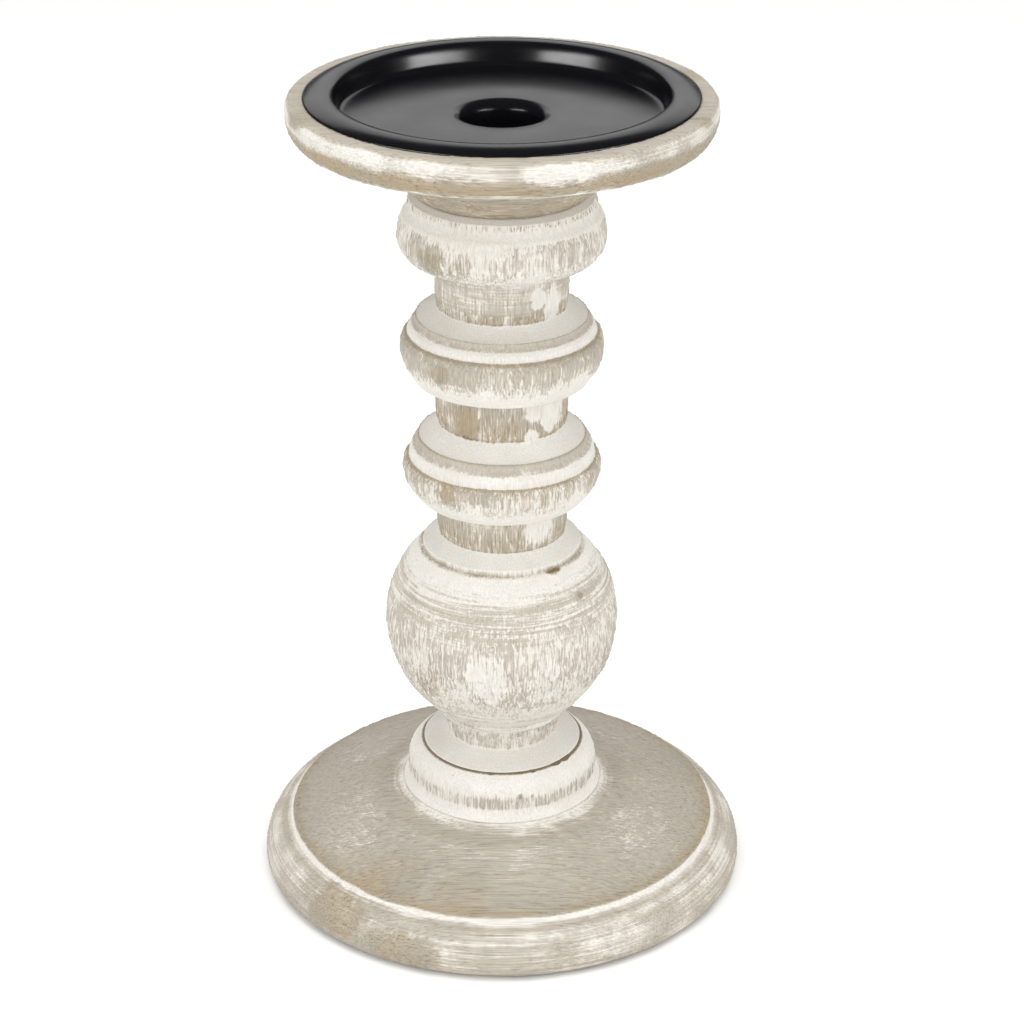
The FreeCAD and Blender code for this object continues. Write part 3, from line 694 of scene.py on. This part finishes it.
FOOT_PLACES = (
    # The first four places darken the top edge of the foot collar under the ball spindle's flange:
    # a dark joint with the shadow of the gap painted in.
    (292, 25.6, 14.2, 1.5, 0.25, -0.45, 1.1, 0.1), (312, 25.6, 14.2, 2.2, 0.25, -0.5, 1.3, 0.15),
    (322, 25.6, 14.2, 2.6, 0.25, -0.5, 1.4, 0.2), (262, 25.6, 14.2, 1.4, 0.25, -0.4, 1.0, 0.1),
    (281, 30.0, 8.4, 0.8, 1.2, -0.7, 0.9, 0.25), (288, 30.0, 8.2, 0.7, 1.2, -0.7, 0.9, 0.25),
    (237, 28.0, 12.0, 0.7, 1.0, -0.7, 0.9, 0.2), (120, 29.0, 10.5, 1.2, 1.4, -0.8, 0.8, 0.2))
BALL_SCHEME = (
    # The first mark, the flange's bottom edge on the foot collar, is a dark joint with the shadow
    # of the gap painted in.
    (25.0, 0.0, 0.5, 0.3, 0.2, 2.2), (24.95, 0.5, 1.05, 0.1, 0.2, 0.2),
    (17.9, 3.8, 1.0, 0.2, 0.2, 0.1), (17.4, 4.2, 0.6, 0.9, 0.2, 1.3),
    (17.7, 5.0, 0.45, 0.9, 0.2, 0.35), (18.5, 9.4, 0.5, 1.0, 0.3, 0.3),
    (18.9, 11.0, 0.6, 0.4, 0.8, 0.9), (20.4, 12.6, 0.72, 0.3, 1.2, 0.25),
    (21.2, 13.8, 0.66, 0.3, 1.1, 0.6), (26.7, 20.5, 0.66, 0.4, 1.2, 0.15),
    (31.5, 27.5, 0.6, 1.1, 0.4, 0.15), (34.8, 35.5, 0.52, 1.6, 0.2, 0.15),
    (36.2, 44.5, 0.52, 1.6, 0.2, 0.1), (35.6, 51.0, 0.5, 1.2, 0.8, 0.1),
    (34.0, 56.5, 0.44, 0.6, 1.9, 0.12), (31.8, 61.0, 0.5, 0.3, 1.8, 0.08),
    (29.4, 64.8, 0.7, 0.3, 0.7, 0.05), (26.2, 68.3, 0.86, 0.4, 0.1, 0.2),
    (25.9, 68.7, 0.6, 0.5, 0.1, 1.25), (24.6, 69.2, 0.4, 0.5, 0.3, 0.5),
    (24.6, 70.4, 0.6, 0.5, 0.2, 0.1), (24.2, 70.9, 1.0, 0.1, 0.1, 0.0),
    (19.8, 74.0, 1.05, 0.1, 0.1, 0.2), (19.6, 74.5, 0.5, 1.0, 0.1, 1.65),
    (19.6, 75.6, 0.38, 1.0, 0.1, 0.95), (19.9, 79.5, 0.42, 1.0, 0.2, 0.5),
    (19.9, 84.5, 0.45, 0.8, 0.4, 0.45), (19.9, 86.2, 0.5, 0.5, 0.3, 0.5),
    # The last mark, the collar's top under the middle spindle, is a dark joint with painted shade
    # from the piece above.
    (19.9, 86.6, 0.4, 0.5, 0.3, 1.4))
BALL_PLACES = (
    (308, 26.2, 68.7, 3.0, 0.5, -0.5, 1.0, 0.15), (317, 33.0, 61.0, 1.9, 0.8, -1.6, 1.6, 0.6),
    (262, 36.0, 38.0, 8.0, 1.9, 0.36, 0.0), (249, 36.0, 31.0, 5.0, 1.8, 0.24, 0.0),
    (292, 36.0, 36.0, 7.0, 1.5, 0.14, -0.1), (228, 35.0, 32.0, 7.0, 1.2, -0.15, 0.35),
    (274, 36.0, 52.0, 9.0, 0.5, -0.16, 0.0), (80, 36.0, 40.0, 11.0, 1.0, -0.2, 0.4),
    (150, 36.0, 47.0, 8.0, 1.2, 0.3, 0.0), (20, 36.0, 34.0, 8.0, 1.2, 0.25, 0.0),
    (305, 20.0, 81.0, 7.0, 1.0, 0.35, -0.3))
MIDDLE_SCHEME = (
    (25.6, 0.0, 0.8, 0.4, 0.2, 0.8), (26.2, 0.8, 1.0, 0.4, 0.2, 0.1),
    (27.6, 2.6, 0.9, 0.5, 0.5, 0.15), (29.0, 5.0, 0.6, 1.0, 0.3, 0.2),
    (30.0, 7.6, 0.44, 1.1, 0.2, 0.3), (30.3, 10.2, 0.38, 1.0, 0.2, 0.4),
    (29.4, 12.4, 0.34, 1.0, 0.1, 0.45), (28.9, 13.1, 0.15, 0.5, 0.1, 1.15),
    (28.5, 13.5, 0.85, 0.5, 0.1, 0.5), (28.3, 14.0, 1.05, 0.2, 0.1, 0.1),
    (27.7, 16.2, 1.02, 0.4, 0.1, 0.1), (27.3, 17.3, 0.45, 0.6, 0.1, 0.0),
    (26.2, 19.0, 0.16, 0.6, 0.2, 0.0), (25.8, 19.9, 0.04, 0.7, 0.2, 0.5),
    (25.5, 20.2, 0.8, 0.1, 0.1, 0.1), (25.0, 20.6, 1.05, 0.1, 0.1, 0.0),
    (19.9, 23.9, 1.05, 0.1, 0.1, 0.3), (19.6, 24.6, 0.42, 1.1, 0.1, 1.6),
    (19.6, 26.0, 0.34, 1.1, 0.1, 0.85), (19.9, 31.0, 0.34, 1.1, 0.2, 0.6),
    # The last mark, the collar's top under the upper spindle's bead, is a dark joint with painted
    # shade from the bead above.
    (19.9, 38.2, 0.45, 0.7, 0.3, 0.35), (19.9, 38.7, 0.45, 0.7, 0.3, 1.6))
MIDDLE_PLACES = (
    (316, 20.0, 32.0, 7.5, 1.1, 0.7, -0.9), (296, 20.0, 26.0, 3.2, 0.8, 0.6, -0.5),
    (238, 20.0, 30.0, 5.0, 1.6, -0.28, 0.5), (300, 20.0, 34.0, 5.0, 1.0, 0.4, -0.3),
    (318, 29.5, 5.5, 6.0, 0.6, 0.4, -0.3),
    (236, 29.8, 10.0, 5.0, 0.8, -0.22, 0.4), (252, 28.0, 5.0, 4.0, 1.0, 0.25, 0.0),
    (60, 30.0, 9.0, 7.0, 0.8, -0.2, 0.4), (120, 20.0, 31.0, 5.0, 1.2, 0.5, -0.2))
UPPER_SCHEME = (
    (26.5, 0.0, 0.8, 0.3, 0.2, 0.8), (27.0, 0.8, 1.0, 0.3, 0.2, 0.1),
    (28.0, 2.6, 0.88, 0.5, 0.4, 0.15), (29.4, 5.6, 0.6, 1.0, 0.2, 0.15),
    (30.4, 8.6, 0.42, 1.0, 0.1, 0.25), (30.7, 11.3, 0.38, 1.0, 0.1, 0.3),
    (29.8, 13.8, 0.34, 1.0, 0.1, 0.3), (29.1, 14.8, 0.15, 0.5, 0.1, 1.1),
    (28.6, 15.2, 0.85, 0.4, 0.1, 0.4), (28.2, 15.9, 1.03, 0.2, 0.1, 0.1),
    (27.5, 17.3, 0.95, 0.4, 0.1, 0.1), (27.2, 18.2, 0.45, 0.6, 0.1, 0.0),
    (26.2, 19.6, 0.18, 0.6, 0.1, 0.0), (26.0, 20.1, 0.06, 0.6, 0.1, 0.4),
    (25.6, 20.4, 1.0, 0.2, 0.1, 0.0), (24.5, 20.9, 1.15, 0.1, 0.1, 0.0),
    (19.8, 22.9, 1.15, 0.2, 0.1, 0.2), (19.6, 23.6, 0.5, 1.2, 0.1, 1.55),
    (19.7, 25.6, 0.42, 1.1, 0.3, 0.8), (19.9, 28.0, 0.46, 0.7, 0.9, 0.15),
    (19.9, 37.0, 0.48, 0.4, 1.1, 0.1), (24.4, 37.7, 0.55, 0.5, 0.3, 0.8),
    (28.0, 40.0, 0.62, 1.1, 0.2, 0.1), (30.4, 43.0, 0.56, 1.2, 0.2, 0.15),
    (31.2, 45.8, 0.52, 1.2, 0.2, 0.2), (31.0, 49.0, 0.56, 1.0, 0.1, 0.1),
    (30.2, 51.4, 0.66, 0.8, 0.1, 0.1), (29.7, 52.3, 1.15, 0.2, 0.1, 0.0),
    (28.8, 55.2, 1.15, 0.2, 0.1, 0.0), (28.6, 55.7, 0.7, 1.5, 0.1, 0.45),
    (28.0, 56.8, 0.6, 1.5, 0.1, 0.85), (27.8, 57.1, 1.2, 0.2, 0.1, 0.0),
    (25.6, 58.4, 1.2, 0.1, 0.1, 0.0))
UPPER_PLACES = (
    (304, 20.0, 30.0, 3.6, 1.2, 0.8, -0.9, -0.5), (318, 20.0, 28.0, 5.0, 1.6, 0.4, -0.3),
    (228, 31.2, 45.0, 7.0, 0.9, -0.2, 0.6), (246, 31.0, 44.0, 5.0, 1.0, -0.1, 0.3),
    (285, 31.0, 43.0, 7.0, 0.8, 0.1, -0.2), (233, 30.6, 10.0, 5.0, 0.8, -0.2, 0.5),
    (262, 29.5, 4.6, 6.0, 0.5, 0.2, -0.1), (322, 29.5, 4.6, 7.0, 0.6, 0.4, -0.3),
    (70, 31.0, 44.0, 8.0, 0.9, -0.2, 0.5), (160, 30.0, 9.0, 6.0, 0.9, 0.3, 0.0))
PLATE_SCHEME = (
    (25.0, 0.0, 0.4, 0.3, 0.3, 0.8), (27.0, 1.8, 0.24, 0.8, 0.4, 0.8),
    (40.0, 10.6, 0.3, 0.8, 0.4, 0.7), (50.0, 15.4, 0.5, 0.6, 0.5, 0.45),
    (55.6, 17.6, 0.7, 0.2, 0.4, 0.2), (60.0, 18.0, 0.6, 0.3, 0.4, 0.35),
    (61.6, 20.6, 0.06, 0.7, 0.5, 0.95), (62.6, 22.6, 0.22, 0.6, 0.6, 0.75),
    (63.1, 24.2, 0.44, 0.3, 0.7, 0.35), (63.3, 26.0, 0.58, 0.2, 0.6, 0.2),
    (62.7, 28.1, 0.54, 0.1, 0.5, 0.15), (61.8, 29.1, 0.16, 0.2, 0.4, 0.1),
    (61.0, 29.1, 0.02, 0.4, 0.5, 0.1), (58.6, 29.1, 0.0, 0.4, 0.5, 0.15),
    (53.0, 29.1, 0.2, 0.6, 0.4, 0.5))
PLATE_PLACES = (
    (222, 63, 21.5, 12, 0.35, -0.16, 0.3), (243, 63, 22.0, 12, 0.35, -0.14, 0.3),
    (258, 62.6, 21.0, 10, 0.3, -0.12, 0.3), (310, 63, 21.8, 12, 0.35, -0.16, 0.4),
    (326, 63, 23.0, 9, 0.4, -0.1, 0.2), (285, 63, 25.0, 13, 0.35, 0.34, -0.4),
    (232, 63, 27.0, 9, 0.3, 0.24, -0.3), (200, 62, 28.8, 9, 0.4, -0.2, 0.4),
    (338, 62, 28.8, 6, 0.4, -0.2, 0.5), (20, 62, 28.8, 9, 0.4, -0.2, 0.4),
    (80, 63, 24.0, 14, 0.4, -0.2, 0.4), (140, 63, 24.0, 13, 0.4, -0.2, 0.4),
    (90, 20.4, 22.0, 4.3, 1, 0.0, 0.0, 0.9), (210, 20.4, 22.0, 4.3, 1, 0.0, 0.0, 0.9),
    (330, 20.4, 22.0, 4.3, 1, 0.0, 0.0, 0.9))


# ---------------------------------------------------------------- operators
class CANDLESTICK_OT_base(bpy.types.Operator):
    """Turns and paints the base disc and the foot collar that stands on it"""
    bl_idname = "candlestick.base"
    bl_label = "Base and foot collar"

    def execute(self, context):
        wood = context.scene.turned_wood
        flat_grain = painted_wood("Whitewashed mango wood, grain along X", 1)
        upright_grain = painted_wood("Whitewashed mango wood, grain upright", 0)
        low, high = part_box("base_disc")
        turned_piece("base_disc", low.z, turned_tree(1), flat_grain, BASE_SCHEME, BASE_PLACES,
                     int(wood.sides * 1.5))
        turned_piece("foot_collar", high.z, turned_tree(0), upright_grain, FOOT_SCHEME,
                     FOOT_PLACES, wood.sides)
        return {"FINISHED"}


class CANDLESTICK_OT_column(bpy.types.Operator):
    """Turns and paints the three spindles of the column"""
    bl_idname = "candlestick.column"
    bl_label = "Column spindles"

    def execute(self, context):
        tree = bpy.data.node_groups["Turned wood, grain upright"]
        material = bpy.data.materials["Whitewashed mango wood, grain upright"]
        sides = context.scene.turned_wood.sides
        for node, seat, scheme, places in (
                ("ball_spindle", "foot_collar", BALL_SCHEME, BALL_PLACES),
                ("middle_spindle", "ball_spindle", MIDDLE_SCHEME, MIDDLE_PLACES),
                ("upper_spindle", "middle_spindle", UPPER_SCHEME, UPPER_PLACES)):
            turned_piece(node, SEATS[seat], tree, material, scheme, places, sides)
        return {"FINISHED"}


class CANDLESTICK_OT_plate(bpy.types.Operator):
    """Turns and paints the plate, with its countersinks for the screws"""
    bl_idname = "candlestick.plate"
    bl_label = "Top plate"

    def execute(self, context):
        tree = bpy.data.node_groups["Turned wood, grain along X"]
        material = bpy.data.materials["Whitewashed mango wood, grain along X"]
        sides = int(context.scene.turned_wood.sides * 1.3)
        turned_piece("top_plate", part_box("top_plate")[0].z, tree, material, PLATE_SCHEME,
                     PLATE_PLACES, sides)
        return {"FINISHED"}


class CANDLESTICK_OT_tray(bpy.types.Operator):
    """Makes the pressed steel tray in smooth satin black"""
    bl_idname = "candlestick.tray"
    bl_label = "Candle tray"

    def execute(self, context):
        chain = half_section("candle_tray", TRAY_TOLERANCE)
        mesh = bpy.data.meshes.new("candle_tray_section")
        points = divided(chain, TRAY_SPACING)
        mesh.from_pydata([(p.x, 0, p.y) for p in points],
                         [(i, i + 1) for i in range(len(points) - 1)], [])
        piece = grown("candle_tray_coated", mesh, plain_turned_tree(), {
            "Sides": context.scene.candle_tray.sides, "Material": powder_coated_steel()})
        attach(piece, "tray")
        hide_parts("candle_tray")
        return {"FINISHED"}


class CANDLESTICK_OT_hardware(bpy.types.Operator):
    """Cuts the tie rod's thread and plates the rod, nuts, washers and screws"""
    bl_idname = "candlestick.hardware"
    bl_label = "Hardware"

    def execute(self, context):
        settings = context.scene.candle_hardware
        zinc = zinc_plated_steel()
        low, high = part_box("tie_rod")
        radius = high.x
        chain = bpy.data.meshes.new("tie_rod_axis")
        chain.from_pydata([(0, 0, low.z), (0, 0, high.z)], [(0, 1)], [])
        rod = grown("tie_rod_threaded", chain, thread_tree(), {
            "Radius": radius, "Depth": settings.thread_depth, "Pitch": settings.pitch,
            "Bottom": low.z, "Length": high.z - low.z,
            "Rows": round((high.z - low.z) / settings.pitch * 6), "Sides": 24, "Material": zinc})
        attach(rod, "candlestick")
        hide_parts("tie_rod")
        for node in ("bottom_nut", "bottom_washer", "top_nut", "top_washer", "plate_screws"):
            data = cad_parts[node].data
            data.materials.clear()
            data.materials.append(zinc)
        return {"FINISHED"}


def thread_tree():
    """Rod with a helical thread, closed at both ends by its last rings."""
    tree, given = new_tree("Threaded rod", [
        ("Radius", "Float"), ("Depth", "Float"), ("Pitch", "Float"), ("Bottom", "Float"),
        ("Length", "Float"), ("Rows", "Int"), ("Sides", "Int"), ("Material", "Material")])
    size = given.outputs
    rows = add(tree, MATH, (size["Rows"], 1.0), "ADD")
    grid, row, share, angle = round_grid(tree, rows, size["Sides"])
    rise = add(tree, MATH, (row, size["Rows"]), "DIVIDE")
    height = add(tree, MATH, (rise, size["Length"], size["Bottom"]), "MULTIPLY_ADD")
    turns = add(tree, MATH, (height, size["Pitch"]), "DIVIDE")
    turns = add(tree, MATH, (turns, share), "SUBTRACT")
    flank = add(tree, MATH, (turns, 0.5), "PINGPONG")
    reach = add(tree, MATH, (flank, -2.0), "MULTIPLY")
    reach = add(tree, MATH, (reach, size["Depth"], size["Radius"]), "MULTIPLY_ADD")
    inner = add(tree, MATH, (row, 0.5), "GREATER_THAN")
    below = add(tree, MATH, (size["Rows"], 0.5), "SUBTRACT")
    outer = add(tree, MATH, (row, below), "LESS_THAN")
    open_end = add(tree, MATH, (inner, outer), "MULTIPLY")
    reach = add(tree, MATH, (reach, open_end), "MULTIPLY")
    arm = add(tree, "ShaderNodeCombineXYZ", {0: reach, 2: height})
    close_tree(tree, placed_grid(tree, grid, arm, angle), given)
    return tree


class CANDLESTICK_OT_felt(bpy.types.Operator):
    """Cuts the felt that is glued under the base"""
    bl_idname = "candlestick.felt"
    bl_label = "Felt"

    def execute(self, context):
        low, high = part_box("felt_pad")
        radius = high.x
        faces = bmesh.new()
        inner = [radius * k / FELT_RINGS for k in range(FELT_RINGS)]
        rings = [(r, low.z) for r in inner]
        rings += [(radius - FELT_EDGE, low.z), (radius, low.z + FELT_EDGE),
                  (radius, high.z - FELT_EDGE), (radius - FELT_EDGE, high.z)]
        rings += [(r, high.z) for r in reversed(inner)]
        points = [faces.verts.new((r, 0, z)) for r, z in rings]
        edges = [faces.edges.new(pair) for pair in zip(points, points[1:])]
        bmesh.ops.spin(faces, geom=points + edges, cent=(0, 0, 0), axis=(0, 0, 1),
                       angle=2 * math.pi, steps=FELT_SIDES)
        bmesh.ops.remove_doubles(faces, verts=faces.verts, dist=1e-6)
        bmesh.ops.recalc_face_normals(faces, faces=faces.faces)
        nap = context.scene.candle_felt.nap
        for vert in faces.verts:
            if vert.co.xy.length > radius - 2 * FELT_EDGE:
                turn = math.atan2(vert.co.y, vert.co.x)
                fray = math.sin(37 * turn) * math.sin(61 * turn + vert.co.z * 4000)
                vert.co.xy *= 1 - nap / radius * (0.5 + 0.5 * fray)
        mesh = bpy.data.meshes.new("felt_pad_cloth")
        faces.to_mesh(mesh)
        faces.free()
        mesh.shade_smooth()
        mesh.materials.append(pressed_felt())
        piece = linked("felt_pad_cloth", mesh)
        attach(piece, "candlestick")
        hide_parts("felt_pad")
        return {"FINISHED"}


class CANDLESTICK_OT_stage(bpy.types.Operator):
    """Lays the paper floor and sets the surround, the soft boxes and the camera"""
    bl_idname = "candlestick.stage"
    bl_label = "Stage"

    def execute(self, context):
        settings = context.scene.candle_stage
        sweep = bmesh.new()
        bmesh.ops.create_circle(sweep, cap_ends=True, segments=96, radius=6.0)
        mesh = bpy.data.meshes.new("paper_floor")
        sweep.to_mesh(mesh)
        sweep.free()
        mesh.materials.append(studio_paper())
        linked("paper_floor", mesh)
        world = bpy.data.worlds.new("White surround")
        context.scene.world = world
        world.use_nodes = True
        sky = world.node_tree.nodes["Background"]
        sky.inputs[0].default_value = (1.0, 1.0, 1.0, 1.0)
        mirrored = add(world.node_tree, "ShaderNodeLightPath", output=3)
        glow = add(world.node_tree, RAMP,
                   {0: mirrored, 3: settings.surround, 4: settings.mirrored})
        world.node_tree.links.new(glow, sky.inputs[1])
        middle = Vector((0, 0, 0.14))
        for name, place, wide, tall, power, lights_wood in (
                ("soft_box_left", (-0.95, -0.85, 0.58), 0.9, 0.9, 4.9, True),
                ("soft_box_right", (0.95, -0.85, 0.58), 0.9, 0.9, 4.9, True),
                ("soft_box_top", (0.0, -0.1, 1.50), 1.2, 1.2, 9.3, True),
                ("card_left", (-0.95, -0.85, 0.31), 0.9, 0.45, 18.0, False),
                ("card_right", (0.95, -0.85, 0.31), 0.9, 0.45, 18.0, False),
                ("card_back", (0.0, 1.6, 1.0), 1.9, 0.9, 5.6, False)):
            lamp = bpy.data.lights.new(name, "AREA")
            lamp.shape = "RECTANGLE"
            lamp.size = wide
            lamp.size_y = tall
            lamp.energy = power
            box = linked(name, lamp)
            box.visible_camera = False
            box.visible_diffuse = lights_wood
            box.visible_glossy = not lights_wood
            box.location = place
            box.rotation_euler = (middle - Vector(place)).to_track_quat("-Z", "Y").to_euler()
        lens = bpy.data.cameras.new("camera")
        lens.lens = settings.lens
        lens.sensor_width = 36.0
        lens.shift_x = CAMERA_SHIFT
        lens.clip_start = 0.01
        camera = linked("camera", lens)
        camera.location = CAMERA_PLACE
        camera.rotation_euler = (math.radians(CAMERA_TILT), 0, 0)
        context.scene.camera = camera
        context.scene.view_settings.view_transform = "Standard"
        return {"FINISHED"}


class CANDLESTICK_PT_sidebar(bpy.types.Panel):
    """Sizes, colours and steps of the candlestick"""
    bl_idname = "CANDLESTICK_PT_sidebar"
    bl_label = "Candlestick"
    bl_space_type = "VIEW_3D"
    bl_region_type = "UI"
    bl_category = "Candlestick"

    def draw(self, context):
        for name, operators in STEPS:
            box = self.layout.box()
            settings = getattr(context.scene, name)
            for prop in settings.bl_rna.properties:
                if prop.identifier not in ("rna_type", "name"):
                    box.prop(settings, prop.identifier)
            for operator in operators:
                box.operator(operator.bl_idname)


STEPS = (
    ("turned_wood", (CANDLESTICK_OT_base, CANDLESTICK_OT_column, CANDLESTICK_OT_plate)),
    ("candle_tray", (CANDLESTICK_OT_tray,)),
    ("candle_hardware", (CANDLESTICK_OT_hardware,)),
    ("candle_felt", (CANDLESTICK_OT_felt,)),
    ("candle_stage", (CANDLESTICK_OT_stage,)),
)
SETTINGS = (("turned_wood", TurnedWoodSettings), ("candle_tray", TraySettings),
            ("candle_hardware", HardwareSettings), ("candle_felt", FeltSettings),
            ("candle_stage", StageSettings))
CLASSES = (*(group for _, group in SETTINGS),
           *(operator for _, operators in STEPS for operator in operators),
           CANDLESTICK_PT_sidebar)


def register():
    for cls in CLASSES:
        bpy.utils.register_class(cls)
    for name, group in SETTINGS:
        setattr(bpy.types.Scene, name, PointerProperty(type=group))


def unregister():
    for name, _ in SETTINGS:
        delattr(bpy.types.Scene, name)
    for cls in reversed(CLASSES):
        bpy.utils.unregister_class(cls)


def main():
    register()
    bpy.ops.candlestick.base()
    bpy.ops.candlestick.column()
    bpy.ops.candlestick.plate()
    bpy.ops.candlestick.tray()
    bpy.ops.candlestick.hardware()
    bpy.ops.candlestick.felt()
    bpy.ops.candlestick.stage()
    bpy.context.view_layer.update()


if __name__ == "__main__":
    main()
